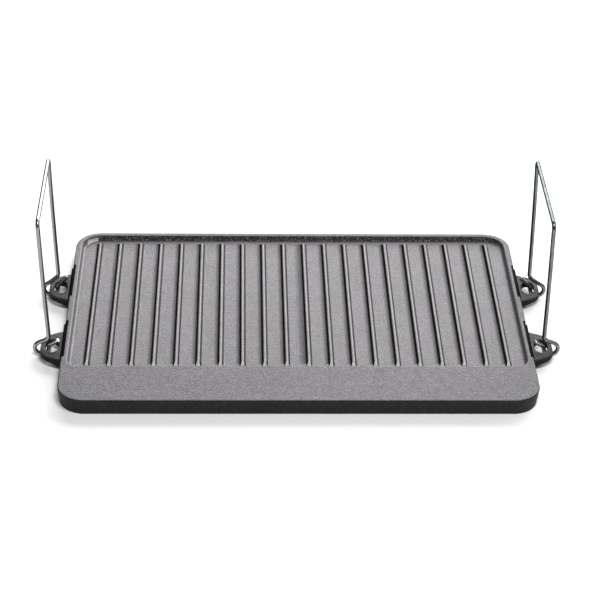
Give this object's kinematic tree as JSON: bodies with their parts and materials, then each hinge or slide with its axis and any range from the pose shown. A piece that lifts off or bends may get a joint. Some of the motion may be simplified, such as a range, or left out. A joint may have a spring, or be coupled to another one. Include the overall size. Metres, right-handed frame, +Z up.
{
  "type": "reversible grill griddle",
  "caption": "Long cast iron griddle plate with a ribbed grilling face, a flat front ledge and eye lugs at both short sides, each pair carrying a swinging bent-wire bail handle.",
  "frame": {"origin": "on the surface the plate rests on, under the middle of the plate", "axes": "+X along the plate's length towards the right bail, -Y towards the front ledge, +Z up from the resting rim to the ribbed face"},
  "size_m": [0.6892, 0.4064, 0.21],
  "materials": {
    "seasoned_iron": "sand-cast, seasoned, satin",
    "plated_wire": "bright zinc-plated drawn wire"
  },
  "bodies": {
    "plate": {"griddle_plate": "seasoned_iron"},
    "left_bail": {"left_bail_handle": "plated_wire"},
    "right_bail": {"right_bail_handle": "plated_wire"}
  },
  "joints": [
    {"name": "left_bail_swing", "type": "hinge", "parent": "plate", "child": "left_bail", "pos_m": [-0.3326, 0, 0.0122], "axis": [0, -1, 0], "range_deg": [0, 94]},
    {"name": "right_bail_swing", "type": "hinge", "parent": "plate", "child": "right_bail", "pos_m": [0.3326, 0, 0.0122], "axis": [0, 1, 0], "range_deg": [0, 96.5]}
  ]
}
